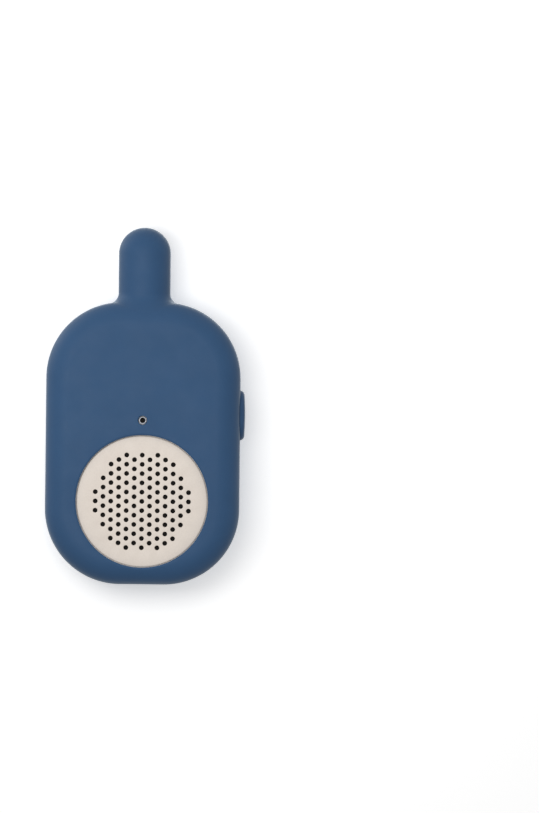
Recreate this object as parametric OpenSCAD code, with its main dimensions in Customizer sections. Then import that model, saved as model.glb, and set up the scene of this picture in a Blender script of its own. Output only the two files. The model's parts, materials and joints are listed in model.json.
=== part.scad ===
// Toy walkie talkie: a two-shell casing with a loudspeaker, a circuit board, three small cells
// and a coiled antenna, inside a soft silicone cover. It stands upright on its base:
// +X is to the right seen from the front, -Y is the front, +Z is up, and the origin is the
// middle of the base. All sizes are in millimetres.

/* [Body] */
// Height from the base to the tip of the antenna
total_h = 135; // [133:0.5:138]
// Height of the body without the antenna
body_h = 106.5; // [106:0.5:108]
// Width of the body
body_w = 73.4; // [73:0.2:75]
// Depth of the body from front to back
body_d = 30; // [30:0.2:31]
// Radius of the body's four corners, seen from the front
corner_r = 28.5; // [28:0.5:29.5]
// Rounding of the front and back edges
edge_r = 9; // [8.5:0.5:9.5]
// Width of the antenna
antenna_w = 19.6; // [19:0.2:20]
// Fillet where the antenna grows out of the body
neck_r = 3.6; // [3.2:0.2:4]

/* [Shells] */
// Thickness of the silicone cover
cover_t = 2; // [1.8:0.1:2.1]
// Gap between the silicone cover and the casing
cover_gap = 0.08; // [0.05:0.01:0.1]
// Wall thickness of the casing
wall = 1.8; // [1.6:0.1:1.9]
// Margin of silicone left round the window in the back of the cover
window_margin = 13; // [12:0.5:13.5]

/* [Speaker] */
// Height of the speaker's centre above the base
speaker_z = 31.25; // [31:0.25:32]
// Diameter of the speaker opening in the cover
speaker_hole_d = 49.8; // [49.8:0.1:50.4]
// Diameter of the grille plate
grille_d = 49.6; // [49.2:0.1:49.6]
// How far the grille's face lies behind the front of the cover
grille_recess = 1.7; // [1.4:0.1:1.7]
// Diameter of one sound hole
sound_hole_d = 1.8; // [1.4:0.1:1.9]
// Step between columns of sound holes
column_step = 2.93; // [2.8:0.01:3]
// Step between sound holes in one column
hole_step = 3.49; // [3.3:0.01:3.5]
// Radius within which sound holes are drilled
hole_field_r = 18.65; // [17:0.05:19]

/* [Microphone] */
// Height of the microphone above the base
mic_z = 61.8; // [61.6:0.1:63]
// Diameter of the opening in the cover over the microphone
mic_hole_d = 3.3; // [3.2:0.1:3.6]

/* [Keys] */
// Length of the talk key on the right side
talk_l = 19; // [18:0.2:19.4]
// Height of the talk key's middle above the base
talk_z = 64.3; // [63.5:0.1:65]
// How far the talk key stands out of the side
talk_proud = 1.9; // [1.7:0.1:2.1]
// Width of the talk key from front to back
talk_w = 15; // [14:0.2:15.4]
// Travel of the talk key
talk_travel = 0.6; // [0.5:0.05:0.65]
// Length of the power key in the base
power_l = 18.3; // [18:0.1:18.4]
// Sideways position of the power key's middle
power_x = -3.65; // [-4:0.05:-3]
// Width of the power key from front to back
power_w = 7; // [6.8:0.1:7.2]
// How far the power key lies inside the base
power_recess = 0.25; // [0.2:0.05:0.3]
// Travel of the power key
power_travel = 0.4; // [0.3:0.05:0.4]

/* [Batteries] */
// Diameter of one cell
cell_d = 10.5; // [10.2:0.1:10.5]
// Length of one cell with its button
cell_l = 44.5; // [44:0.1:44.6]
// Step from one cell to the next
cell_pitch = 10.8; // [10.8:0.05:10.9]
// Thickness of the battery door
door_t = 1.6; // [1.5:0.05:1.6]

/* [Hidden] */
$fn = 64;

// Colours
BLUE = [0.24, 0.36, 0.49];
CREAM = [0.85, 0.80, 0.76];
STEEL = [0.75, 0.76, 0.78];
BRASS = [0.80, 0.65, 0.35];
COPPER = [0.72, 0.45, 0.30];
BLACK = [0.10, 0.10, 0.11];
BOARD_GREEN = [0.10, 0.35, 0.20];
RED = [0.70, 0.12, 0.10];

eps = 0.01;

// Cover and casing
half_w = body_w / 2;
half_d = body_d / 2;
antenna_r = antenna_w / 2;
casing_in = cover_t + cover_gap;
cavity_in = casing_in + wall;
corner_x = half_w - corner_r;
casing_front_y = casing_in - half_d;
casing_back_y = half_d - casing_in;
inner_front_y = cavity_in - half_d;
inner_back_y = half_d - cavity_in;

// Grille and speaker, from the front backwards
grille_y = grille_recess - half_d;
grille_rebate = 0.6;
grille_back_y = casing_front_y + grille_rebate;
grille_round = 0.6;
skirt_r = 23.1;
skirt_t = 1.5;
skirt_l = 2.82;
skirt_gap = 0.1;
cloth_t = 0.2;
gasket_t = 0.8;
frame_y = grille_back_y + cloth_t + gasket_t;
flange_r = 20;
flange_t = 0.7;
basket_lip_r = 17.6;
basket_ring_y = 5.1;
top_plate_y = 5.8;
magnet_y = 6.9;
yoke_y = 8.5;
yoke_back = 9.7;
motor_r = 12;
pole_r = 6;
coil_r = 6.35;
coil_t = 0.3;
plate_bore_r = 7;
cone_r = 14.6;
cone_front = 0.7;
cone_back = 3.4;
retainer_y = grille_back_y + skirt_l + 0.1;
retainer_t = 1;
retainer_ear = 18;
retainer_screw_r = 0.75;
retainer_boss_r = 2.2;

// Microphone
bezel_r = 1.45;
mic_port_r = 1;
bezel_proud = 1.3;
bezel_lip = 0.6;
mic_cloth_r = 1.2;
mic_cloth_t = 0.2;
mic_cloth_y = casing_front_y - bezel_proud + bezel_lip;
bezel_flange_r = 2.3;
bezel_flange_t = 0.7;
mic_r = 3;
mic_boot_t = 0.5;

// Talk key, at rest; its ends stop short of a full half circle by the flat length
key_slot_gap = 0.35;
key_end_flat = 0.6;
key_bow_ratio = 5.5;
key_end_r = 1.8;
stem_gap = 0.3;
talk_back_x = half_w - cover_t + 0.8;
talk_front_x = half_w + talk_proud;
talk_head = [1.4, 4.8, 12];
talk_stem = [3.2, 7];
talk_stem_tip_x = 30.6;
talk_flange = [1, 5.2, 10];
talk_switch_size = [5, 7, 7];
talk_switch_x = 24.2;
talk_button_y = -1.1;
talk_button_r = 1.6;
talk_button_l = 2.8;
button_gap = 0.15;

// Power key, at rest
power_t = 1.1;
power_stem = [7, 3.4];
power_stem_top_z = 5.4;
power_flange = [10, 5.4, 0.8];
power_switch_size = [8.5, 8, 5.2];
power_switch_z = 7.4;
power_button_r = 1.8;
power_button_l = 3;
power_board_size = [17, 9, 1];
power_board_z = power_switch_z + power_switch_size.z;

// Battery bay and its door
cell_r = cell_d / 2;
door_sink = 0.12;
door_out_y = casing_back_y - door_sink;
door_in_y = door_out_y - door_t;
cell_y = door_in_y - 0.35 - cell_r;
bay_floor_y = cell_y - cell_r - 0.25;
bay_wall = 1.1;
bay_half_w = cell_pitch + cell_r + 0.15;
bay_low_z = 28.8;
contact_t = 0.4;
tag_low_y = 3;
tag_high_y = 7;
tag_gap = 0.6;
spring_l = 3.5;
bay_high_z = bay_low_z + 2 * contact_t + spring_l + cell_l;
door_gap = 0.3;
door_low_z = bay_low_z - 1.7;
door_h = 58.8;
door_half_w = 18.3;
door_corner_r = 3;
seat_t = 1.5;
seat_y = inner_back_y - 0.07;
seat_margin = 2;
tab_w = 6;
tab_gap = 0.5;
tab_y = 9.4;
tab_t = 1.5;
tab_l = 2;
tab_room_y = 8;
tab_room_below = 0.9;
tab_room_above = 2.2;
door_screw_z = bay_high_z + 4.3;
door_screw_r = 0.95;
door_screw_tip_y = 8;
door_screw_head_r = 2.2;
door_screw_sink = 1.1;
insert_r = 1.7;
insert_bore_r = 1.15;
insert_y = 5;
insert_l = 4.5;

// Casing screws, as [x, z]
casing_screw_at = [[-27.3, 23], [27.3, 23], [-26.5, 88], [26.5, 88]];
casing_screw_r = 0.95;
casing_screw_head_r = 2.2;
casing_screw_head_t = 1.4;
casing_screw_l = 11;
casing_boss_r = 3;
counterbore_y = 5.2;

// Circuit board, as [x, z]
board_y = -7;
board_t = 1.6;
board_back_y = board_y + board_t;
board_low_z = 56.5;
board_inset = cavity_in + 3;
board_screw_at = [[-25, 62], [19, 60.5], [-14, 94.5], [14, 94.5]];
board_screw_r = 0.85;
board_boss_r = 2.5;
shield_at = [-15, 74];
audio_chip_at = [9, 70];
crystal_at = [-12, 61];
capacitor_at = [[4.5, 88], [11, 86.5], [18.5, 86.5]];
capacitor_r = 2.5;
capacitor_l = 6.5;
tuning_coil_at = [24, 76];

// Antenna
antenna_base_z = 101;
antenna_base_h = 4;
antenna_base_r = 5.6;
former_r = 2.6;
former_top_z = 129;
helix_r = 3.3;
helix_wire_r = 0.35;
helix_turns = 11;
helix_low_z = 107;
helix_high_z = 126;

// Leads
lead_r = 0.55;
lead_sides = 8;
lead_end_y = board_back_y + 0.3;

// ---------- helpers ----------

// Rounded rectangle centred on the origin
module rounded_rect(w, h, r) {
    square([w - 2 * r, h], center = true);
    square([w, h - 2 * r], center = true);
    for (sx = [-1, 1], sy = [-1, 1])
        translate([sx * (w / 2 - r), sy * (h / 2 - r)])
            circle(r = r);
}

// Stands a front view up: what is drawn as (x, z) and raised by h goes from y to y + h
module upright(y) {
    translate([0, y, 0])
        rotate([90, 0, 0])
            mirror([0, 0, 1])
                children();
}

// Round bar along Y between two depths, at a place in the front view
module bar_y(at, r, y1, y2) {
    translate([at[0], y1, at[1]])
        rotate([-90, 0, 0])
            cylinder(h = y2 - y1, r = r);
}

// Turns a profile of (radius, depth) about the speaker's axis
module speaker_turned() {
    translate([0, frame_y, speaker_z])
        rotate([-90, 0, 0])
            rotate_extrude($fn = 96)
                children();
}

// Block given by its lowest and highest corners
module block(low, high) {
    translate(low)
        cube(high - low);
}

// Section through the body's rim, from a corner's centre outwards
module rim_section(reach, depth, e) {
    translate([0, -depth])
        square([reach - e, 2 * depth]);
    translate([0, e - depth])
        square([reach, 2 * (depth - e)]);
    for (s = [-1, 1])
        translate([reach - e, s * (depth - e)])
            circle(r = e);
}

// The rounded body, set in from the outside of the cover by an equal amount all over
module pebble(inset) {
    r = corner_r - inset;
    depth = half_d - inset;
    e = edge_r - inset;
    low = inset + r;
    high = body_h - inset - r;
    rotate([90, 0, 0]) {
        for (q = [0:3])
            translate([(q == 0 || q == 3 ? 1 : -1) * corner_x, q < 2 ? high : low, 0])
                rotate([0, 0, 90 * q])
                    rotate_extrude(angle = 90, $fn = 128)
                        rim_section(r, depth, e);
        for (side = [0, 1])
            mirror([side, 0, 0])
                translate([corner_x, high, 0])
                    rotate([90, 0, 0])
                        linear_extrude(height = high - low)
                            rim_section(r, depth, e);
        for (end = [0, 1])
            translate([-corner_x, end ? high : low, 0])
                mirror([0, 1 - end, 0])
                    rotate([90, 0, 90])
                        linear_extrude(height = 2 * corner_x)
                            rim_section(r, depth, e);
        translate([-corner_x, low, -depth])
            cube([2 * corner_x, high - low, 2 * depth]);
    }
}

// The round antenna with its domed tip, set in in the same way
module nub(inset) {
    r = antenna_r - inset;
    straight = total_h - antenna_r;
    foot = body_h - edge_r - 3;
    translate([0, 0, foot])
        rotate_extrude()
            intersection() {
                union() {
                    square([r, straight - foot]);
                    translate([0, straight - foot])
                        circle(r = r);
                }
                square([r, straight - foot + r]);
            }
}

module body_shape(inset) {
    pebble(inset);
    nub(inset);
}

// Fillet between the antenna and the body: a turned collar with a hollow side, cut back at the
// front and the back so that it keeps within the body's rounded edge there
module neck() {
    round_y = half_d - edge_r;
    round_z = body_h - edge_r;
    low = round_z + 2;
    collar_r = antenna_r + 0.85 * neck_r;
    collar_z = body_h + 0.85 * neck_r;
    cut_y = antenna_r + 1.5;
    cut_z = round_z + sqrt(edge_r * edge_r - pow(cut_y - round_y, 2));
    intersection() {
        rotate_extrude($fn = 96)
            difference() {
                translate([antenna_r - 2, low])
                    square([collar_r - antenna_r + 2, collar_z - low]);
                translate([antenna_r + neck_r - 0.05, collar_z])
                    circle(r = neck_r);
            }
        rotate([90, 0, 90])
            linear_extrude(height = body_w / 2, center = true)
                polygon([[-cut_y - 3, low - 1], [-cut_y, cut_z], [-antenna_r - 0.2, cut_z + 2.4],
                    [-antenna_r - 0.2, body_h + neck_r], [antenna_r + 0.2, body_h + neck_r],
                    [antenna_r + 0.2, cut_z + 2.4], [cut_y, cut_z], [cut_y + 3, low - 1]]);
    }
}

// Unit vector along a list of points at point i
function heading(p, i) =
    let (d = p[min(i + 1, len(p) - 1)] - p[max(i - 1, 0)]) d / norm(d);

// A normal carried along to a new heading with no twist
function carried(n, t) =
    let (m = n - (n * t) * t) m / norm(m);

function first_normal(t) = carried(abs(t.z) < 0.9 ? [0, 0, 1] : [1, 0, 0], t);

// Closed round tube along a list of points
module tube(p, r, sides) {
    last = len(p) - 1;
    normals = [for (i = 0, n = first_normal(heading(p, 0)); i <= last;
        i = i + 1, n = carried(n, heading(p, min(i, last)))) n];
    ring_points = [for (i = [0:last], j = [0:sides - 1])
        let (a = 360 * j / sides, b = cross(heading(p, i), normals[i]))
            p[i] + r * (cos(a) * normals[i] + sin(a) * b)];
    side_faces = [for (i = [0:last - 1], j = [0:sides - 1])
        let (a = i * sides + j, b = i * sides + (j + 1) % sides)
            each [[a, a + sides, b], [b, a + sides, b + sides]]];
    start_cap = [for (j = [0:sides - 1]) j];
    end_cap = [for (j = [sides - 1:-1:0]) last * sides + j];
    polyhedron(points = ring_points, faces = concat([start_cap], side_faces, [end_cap]));
}

// Rounds the corners of a route by cutting each of them twice over
function cut_corners(p) = concat([p[0]],
    [for (i = [0:len(p) - 2]) each [0.75 * p[i] + 0.25 * p[i + 1], 0.25 * p[i] + 0.75 * p[i + 1]]],
    [p[len(p) - 1]]);
function rounded_route(p) = cut_corners(cut_corners(p));

module lead(p) {
    tube(rounded_route(p), lead_r, lead_sides);
}

// Points of a helix about Z whose radius goes from r1 to r2
function helix(r1, r2, z1, z2, turns, steps) =
    [for (i = [0:turns * steps])
        let (f = i / (turns * steps), a = 360 * i / steps, r = r1 + (r2 - r1) * f)
            [r * cos(a), r * sin(a), z1 + (z2 - z1) * f]];

// Pan-head screw along Y: its head's seat is at y, its shank runs towards the front
module screw(at, y, head_r, head_t, r, l) {
    slot_w = 0.5;
    difference() {
        union() {
            bar_y(at, head_r, y, y + head_t);
            bar_y(at, r, y - l, y + eps);
        }
        for (turn = [0, 90])
            translate([at[0], y + head_t, at[1]])
                rotate([0, turn, 0])
                    cube([1.5 * head_r, head_t, slot_w], center = true);
    }
}

// Outline of a board or window that follows the body's outline
module follow_outline(inset) {
    translate([0, body_h / 2])
        rounded_rect(body_w - 2 * inset, body_h - 2 * inset, corner_r - inset);
}

// ---------- cover and casing ----------

module silicone_cover() {
    color(BLUE)
        difference() {
            union() {
                body_shape(0);
                neck();
            }
            body_shape(cover_t);
            bar_y([0, speaker_z], speaker_hole_d / 2, -half_d - 1, 0);
            bar_y([0, mic_z], mic_hole_d / 2, -half_d - 1, 0);
            talk_slot(talk_l + 2 * key_slot_gap, talk_w + 2 * key_slot_gap, half_w - 2 * cover_t);
            power_slot(power_l + 2 * key_slot_gap, power_w + 2 * key_slot_gap, -1, 2 * cover_t);
            upright(0)
                linear_extrude(height = half_d + 1)
                    follow_outline(window_margin);
        }
}

// Opening for the talk key through the right side, from x outwards
module talk_slot(l, w, x) {
    translate([x, 0, talk_z])
        rotate([90, 0, 90])
            linear_extrude(height = half_w)
                rounded_rect(w, l, w / 2 - key_end_flat);
}

// Opening for the power key through the base, between two heights
module power_slot(l, w, z1, z2) {
    translate([power_x, 0, z1])
        linear_extrude(height = z2 - z1)
            rounded_rect(l, w, w / 2 - key_end_flat);
}

// Holes for the stems of both keys, which the two casing halves share
module stem_holes() {
    block([talk_stem_tip_x, -talk_stem.x / 2 - stem_gap, talk_z - talk_stem.y / 2 - stem_gap],
        [half_w, talk_stem.x / 2 + stem_gap, talk_z + talk_stem.y / 2 + stem_gap]);
    block([power_x - power_stem.x / 2 - stem_gap, -power_stem.y / 2 - stem_gap, 0],
        [power_x + power_stem.x / 2 + stem_gap, power_stem.y / 2 + stem_gap, cavity_in + 1]);
}

module casing_shell() {
    difference() {
        body_shape(casing_in);
        body_shape(cavity_in);
    }
}

module retainer_places() {
    for (sx = [-1, 1], sz = [-1, 1])
        translate([sx * retainer_ear, 0, speaker_z + sz * retainer_ear])
            children();
}

module front_casing() {
    color(CREAM)
        difference() {
            union() {
                intersection() {
                    casing_shell();
                    block([-body_w, -body_d, -1], [body_w, 0, total_h]);
                }
                for (at = casing_screw_at)
                    bar_y(at, casing_boss_r, casing_front_y + 1, 0);
                for (at = board_screw_at)
                    bar_y(at, board_boss_r, casing_front_y + 1, board_y);
                retainer_places()
                    bar_y([0, 0], retainer_boss_r, casing_front_y + 1, retainer_y);
            }
            bar_y([0, speaker_z], skirt_r + skirt_gap, -half_d, inner_front_y + 1);
            bar_y([0, speaker_z], grille_d / 2 + 0.2, -half_d, grille_back_y);
            bar_y([0, mic_z], bezel_r + 0.05, -half_d, inner_front_y + 1);
            for (at = casing_screw_at)
                bar_y(at, casing_screw_r + 0.05, counterbore_y - casing_screw_l - 0.5, 1);
            for (at = board_screw_at)
                bar_y(at, board_screw_r + 0.05, inner_front_y + 0.3, board_y + 1);
            retainer_places()
                bar_y([0, 0], retainer_screw_r + 0.05, inner_front_y - 0.5, retainer_y + 1);
            stem_holes();
        }
}

module rear_casing() {
    bay_wall_half = bay_half_w + bay_wall;
    post_half = 1.4;
    color(CREAM)
        difference() {
            union() {
                intersection() {
                    casing_shell();
                    block([-body_w, 0, -1], [body_w, body_d, total_h]);
                }
                for (at = casing_screw_at)
                    bar_y(at, casing_boss_r + 0.4, 0, inner_back_y + 0.6);
                // battery bay
                block([-bay_wall_half, bay_floor_y - bay_wall, bay_low_z - bay_wall],
                    [bay_wall_half, seat_y, bay_high_z + bay_wall]);
                // seat that the door closes on
                upright(seat_y - seat_t)
                    linear_extrude(height = inner_back_y - seat_y + seat_t)
                        translate([0, door_low_z + door_h / 2])
                            rounded_rect(2 * (door_half_w + seat_margin), door_h + 2 * seat_margin,
                                door_corner_r + 1);
                bar_y([0, door_screw_z], insert_r + 1.4, insert_y - 1, seat_y);
                // posts under the power key's board
                for (s = [-1, 1])
                    translate([power_x + s * (power_board_size.x / 2 - post_half), 0, 0])
                        block([-post_half, 1 - power_board_size.y / 2, power_board_z - 2],
                            [post_half, inner_back_y + 0.5, power_board_z - 0.05]);
            }
            block([-bay_half_w, bay_floor_y, bay_low_z], [bay_half_w, body_d, bay_high_z]);
            upright(seat_y)
                linear_extrude(height = half_d)
                    translate([0, door_low_z + door_h / 2])
                        rounded_rect(2 * (door_half_w + door_gap), door_h + 2 * door_gap,
                            door_corner_r + door_gap);
            // room for the door's tabs to turn in
            for (s = [-1, 1])
                translate([s * cell_pitch, 0, 0])
                    block([-tab_w / 2 - tab_gap, tab_room_y, door_low_z - tab_l - tab_room_below],
                        [tab_w / 2 + tab_gap, inner_back_y, bay_low_z + tab_room_above]);
            bar_y([0, door_screw_z], insert_r, insert_y, body_d);
            // slots for the tags of the end contacts
            block([-bay_wall_half - 1, tag_low_y - tag_gap, bay_low_z],
                [0, tag_high_y + tag_gap, bay_low_z + contact_t]);
            block([0, tag_low_y - tag_gap, bay_high_z - contact_t],
                [bay_wall_half + 1, tag_high_y + tag_gap, bay_high_z]);
            for (at = casing_screw_at) {
                bar_y(at, casing_screw_r + 0.25, -1, body_d);
                bar_y(at, casing_screw_head_r + 0.2, counterbore_y, body_d);
            }
            stem_holes();
        }
}

module casing_screws() {
    color(STEEL)
        for (at = casing_screw_at)
            screw(at, counterbore_y, casing_screw_head_r, casing_screw_head_t, casing_screw_r,
                casing_screw_l);
}

// ---------- grille and speaker ----------

module sound_holes() {
    columns = ceil(hole_field_r / column_step);
    rows = ceil(hole_field_r / hole_step);
    for (c = [-columns:columns], k = [-rows:rows]) {
        at = [c * column_step, (k + (c % 2 == 0 ? 0 : 0.5)) * hole_step];
        if (norm(at) <= hole_field_r)
            bar_y([at[0], speaker_z + at[1]], sound_hole_d / 2, -half_d - 1, grille_back_y + 1);
    }
}

module speaker_grille() {
    front = grille_y - frame_y;
    back = grille_back_y - frame_y;
    color(CREAM)
        difference() {
            speaker_turned() {
                translate([0, front])
                    square([grille_d / 2 - grille_round, back - front]);
                translate([0, front + grille_round])
                    square([grille_d / 2, back - front - grille_round]);
                intersection() {
                    translate([grille_d / 2 - grille_round, front + grille_round])
                        circle(r = grille_round);
                    translate([0, front])
                        square([grille_d / 2, back - front]);
                }
                translate([skirt_r - skirt_t, back - eps])
                    square([skirt_t, skirt_l + eps]);
            }
            sound_holes();
        }
}

module speaker_cloth() {
    color(BLACK)
        bar_y([0, speaker_z], skirt_r - skirt_t - 0.1, grille_back_y, grille_back_y + cloth_t);
}

module speaker_gasket() {
    color(BLACK)
        speaker_turned()
            translate([flange_r - 1.8, -gasket_t])
                square([2.8, gasket_t]);
}

module speaker_frame() {
    t = 0.7;
    slope_in = [basket_lip_r, flange_t - 0.1];
    slope_out = [motor_r + 0.4, basket_ring_y - 0.1];
    vent_at = [15.5, 2.9];
    vent_r = 1.6;
    vent_l = 12;
    color(STEEL)
        difference() {
            speaker_turned()
                polygon([[slope_in[0], 0], [flange_r, 0], [flange_r, flange_t],
                    [slope_in[0] + t, flange_t], [slope_out[0] + t, basket_ring_y],
                    [slope_out[0] + t, top_plate_y], [plate_bore_r + 1, top_plate_y],
                    [plate_bore_r + 1, basket_ring_y], slope_out, slope_in]);
            for (turn = [0:90:270])
                translate([0, frame_y + vent_at.y, speaker_z])
                    rotate([0, turn, 0])
                        translate([vent_at.x, 0, 0])
                            rotate([0, 90, 0])
                                cylinder(h = vent_l, r = vent_r, center = true);
        }
}

module speaker_top_plate() {
    color(STEEL)
        speaker_turned()
            translate([plate_bore_r, top_plate_y])
                square([motor_r - plate_bore_r, magnet_y - top_plate_y]);
}

module speaker_magnet() {
    color([0.25, 0.25, 0.27])
        speaker_turned()
            translate([plate_bore_r + 1, magnet_y])
                square([motor_r + 0.4 - plate_bore_r - 1, yoke_y - magnet_y]);
}

module speaker_yoke() {
    color(STEEL)
        speaker_turned() {
            translate([0, yoke_y])
                square([motor_r, yoke_back - yoke_y]);
            translate([0, top_plate_y + 0.1])
                square([pole_r, yoke_y - top_plate_y]);
        }
}

module voice_coil() {
    color(COPPER)
        speaker_turned()
            translate([coil_r, cone_back - 0.2])
                square([coil_t, yoke_y - 0.9 - cone_back]);
}

module speaker_cone() {
    t = 0.35;
    color(BLACK)
        speaker_turned()
            polygon([[coil_r + coil_t, cone_back - t], [cone_r, cone_front - t], [cone_r, cone_front],
                [coil_r + coil_t, cone_back]]);
}

module speaker_dust_cap() {
    base_r = 7.4;
    bulge_r = 12;
    t = 0.3;
    centre = cone_back - 0.6 + sqrt(bulge_r * bulge_r - base_r * base_r);
    color(BLACK)
        speaker_turned()
            intersection() {
                difference() {
                    translate([0, centre])
                        circle(r = bulge_r, $fn = 96);
                    translate([0, centre])
                        circle(r = bulge_r - t, $fn = 96);
                }
                square([base_r, cone_back - 0.65]);
            }
}

module speaker_surround() {
    roll_r = 1.3;
    t = 0.3;
    gap = 0.05;
    mid = cone_r + roll_r + gap;
    foot = cone_front - 0.1;
    color(BLACK)
        speaker_turned() {
            intersection() {
                difference() {
                    translate([mid, foot])
                        circle(r = roll_r);
                    translate([mid, foot])
                        circle(r = roll_r - t);
                }
                translate([cone_r, foot - 2 * roll_r])
                    square([3 * roll_r, 2 * roll_r]);
            }
            translate([mid + roll_r - t, foot - t])
                square([basket_lip_r - gap - mid - roll_r + t, t]);
        }
}

module speaker_terminals() {
    at_z = speaker_z + 17.25;
    plate_y = frame_y + 3.4;
    color([0.55, 0.35, 0.18])
        difference() {
            block([-5, plate_y, at_z - 2], [5, plate_y + 0.8, at_z + 2.6]);
            for (x = [-2.6, 2.6])
                bar_y([x, at_z + 1], 0.5, plate_y - 1, plate_y + 2);
        }
    color(BRASS)
        for (x = [-2.6, 2.6])
            bar_y([x, at_z + 1], 0.5, plate_y - 0.2, plate_y + 1.6);
}

module speaker_retainer() {
    ear_r = 3;
    color(BLACK)
        difference() {
            union() {
                upright(retainer_y)
                    linear_extrude(height = retainer_t)
                        translate([0, speaker_z]) {
                            circle(r = skirt_r, $fn = 96);
                            for (sx = [-1, 1], sz = [-1, 1])
                                translate([sx, sz] * retainer_ear)
                                    circle(r = ear_r);
                        }
                bar_y([0, speaker_z], skirt_r - skirt_t - 0.1, frame_y + flange_t, retainer_y + eps);
            }
            bar_y([0, speaker_z], flange_r - 1, frame_y, retainer_y + 2 * retainer_t);
            retainer_places()
                bar_y([0, 0], retainer_screw_r + 0.1, retainer_y - 1, retainer_y + 2 * retainer_t);
        }
}

module retainer_screws() {
    color(STEEL)
        retainer_places()
            screw([0, 0], retainer_y + retainer_t, 1.6, 1, retainer_screw_r, 3);
}

// ---------- microphone ----------

module mic_bezel() {
    color([0.92, 0.92, 0.93])
        difference() {
            union() {
                bar_y([0, mic_z], bezel_r, casing_front_y - bezel_proud, inner_front_y + eps);
                bar_y([0, mic_z], bezel_flange_r, inner_front_y, inner_front_y + bezel_flange_t);
            }
            bar_y([0, mic_z], mic_port_r, -half_d, 0);
            bar_y([0, mic_z], mic_cloth_r, mic_cloth_y, 0);
        }
}

module mic_cloth() {
    color(BLACK)
        bar_y([0, mic_z], mic_cloth_r, mic_cloth_y, mic_cloth_y + mic_cloth_t);
}

module mic_boot() {
    front = inner_front_y + bezel_flange_t;
    color(BLACK)
        difference() {
            bar_y([0, mic_z], mic_r + mic_boot_t, front, board_y);
            bar_y([0, mic_z], mic_r, front + mic_boot_t, board_y + 1);
            bar_y([0, mic_z], mic_port_r, front - 1, board_y);
        }
}

module mic_capsule() {
    front = inner_front_y + bezel_flange_t + mic_boot_t;
    color(STEEL)
        difference() {
            bar_y([0, mic_z], mic_r, front, board_y);
            bar_y([0, mic_z], 0.6, front - 1, front + 0.4);
        }
}

// ---------- talk key ----------

// Profile of the talk key's outer face across a given width: a shallow bow with rounded ends
module key_bow(l) {
    bow_r = key_bow_ratio * l;
    intersection() {
        translate([talk_front_x - bow_r, 0])
            circle(r = bow_r, $fn = 360);
        translate([talk_front_x - l / 2, 0])
            rounded_rect(l, l, key_end_r);
    }
}

module talk_key() {
    color(BLUE * 0.85)
        difference() {
            intersection() {
                talk_slot(talk_l, talk_w, talk_back_x);
                translate([0, 0, talk_z])
                    rotate([90, 0, 0])
                        linear_extrude(height = talk_w + 1, center = true)
                            key_bow(talk_l);
                translate([0, 0, talk_z])
                    linear_extrude(height = talk_l + 1, center = true)
                        key_bow(talk_w);
            }
            block([talk_back_x - 1, -talk_head.y / 2, talk_z - talk_head.z / 2],
                [talk_back_x + talk_head.x, talk_head.y / 2, talk_z + talk_head.z / 2]);
        }
}

module talk_plunger() {
    flange_x = half_w - cavity_in - 0.12;
    color(CREAM)
        union() {
            block([talk_back_x, -talk_head.y / 2, talk_z - talk_head.z / 2],
                [talk_back_x + talk_head.x, talk_head.y / 2, talk_z + talk_head.z / 2]);
            block([talk_stem_tip_x, -talk_stem.x / 2, talk_z - talk_stem.y / 2],
                [talk_back_x + eps, talk_stem.x / 2, talk_z + talk_stem.y / 2]);
            block([flange_x - talk_flange.x, -talk_flange.y / 2, talk_z - talk_flange.z / 2],
                [flange_x, talk_flange.y / 2, talk_z + talk_flange.z / 2]);
        }
}

// Round bar along X between two places, on the talk button's axis
module bar_x(r, x1, x2) {
    translate([x1, talk_button_y, talk_z])
        rotate([0, 90, 0])
            cylinder(h = x2 - x1, r = r);
}

module talk_switch() {
    color(BLACK)
        difference() {
            block([talk_switch_x, board_back_y, talk_z - talk_switch_size.z / 2],
                [talk_switch_x + talk_switch_size.x, board_back_y + talk_switch_size.y,
                    talk_z + talk_switch_size.z / 2]);
            bar_x(talk_button_r + button_gap, talk_stem_tip_x - talk_button_l - talk_travel - 0.2,
                talk_stem_tip_x);
        }
}

module talk_switch_button() {
    color(BRASS)
        bar_x(talk_button_r, talk_stem_tip_x - talk_button_l, talk_stem_tip_x);
}

// ---------- power key ----------

module power_key() {
    color(BLUE * 0.9)
        power_slot(power_l, power_w, power_recess, power_recess + power_t);
}

module power_plunger() {
    flange_z = cavity_in + 0.1;
    color(CREAM)
        translate([power_x, 0, 0])
            union() {
                block([-power_stem.x / 2, -power_stem.y / 2, power_recess + power_t],
                    [power_stem.x / 2, power_stem.y / 2, power_stem_top_z]);
                block([-power_flange.x / 2, -power_flange.y / 2, flange_z],
                    [power_flange.x / 2, power_flange.y / 2, flange_z + power_flange.z]);
            }
}

module power_switch() {
    color(BLACK)
        difference() {
            translate([power_x, 0, 0])
                block([-power_switch_size.x / 2, -power_switch_size.y / 2, power_switch_z],
                    [power_switch_size.x / 2, power_switch_size.y / 2, power_board_z]);
            translate([power_x, 0, power_switch_z - 1])
                cylinder(h = power_button_l - 2 + power_travel + 1.2, r = power_button_r + button_gap);
        }
}

module power_switch_button() {
    color(BRASS)
        translate([power_x, 0, power_stem_top_z])
            cylinder(h = power_button_l, r = power_button_r);
}

module power_board() {
    color(BOARD_GREEN)
        translate([power_x, 0, power_board_z + power_board_size.z / 2])
            cube(power_board_size, center = true);
}

// ---------- batteries ----------

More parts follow.
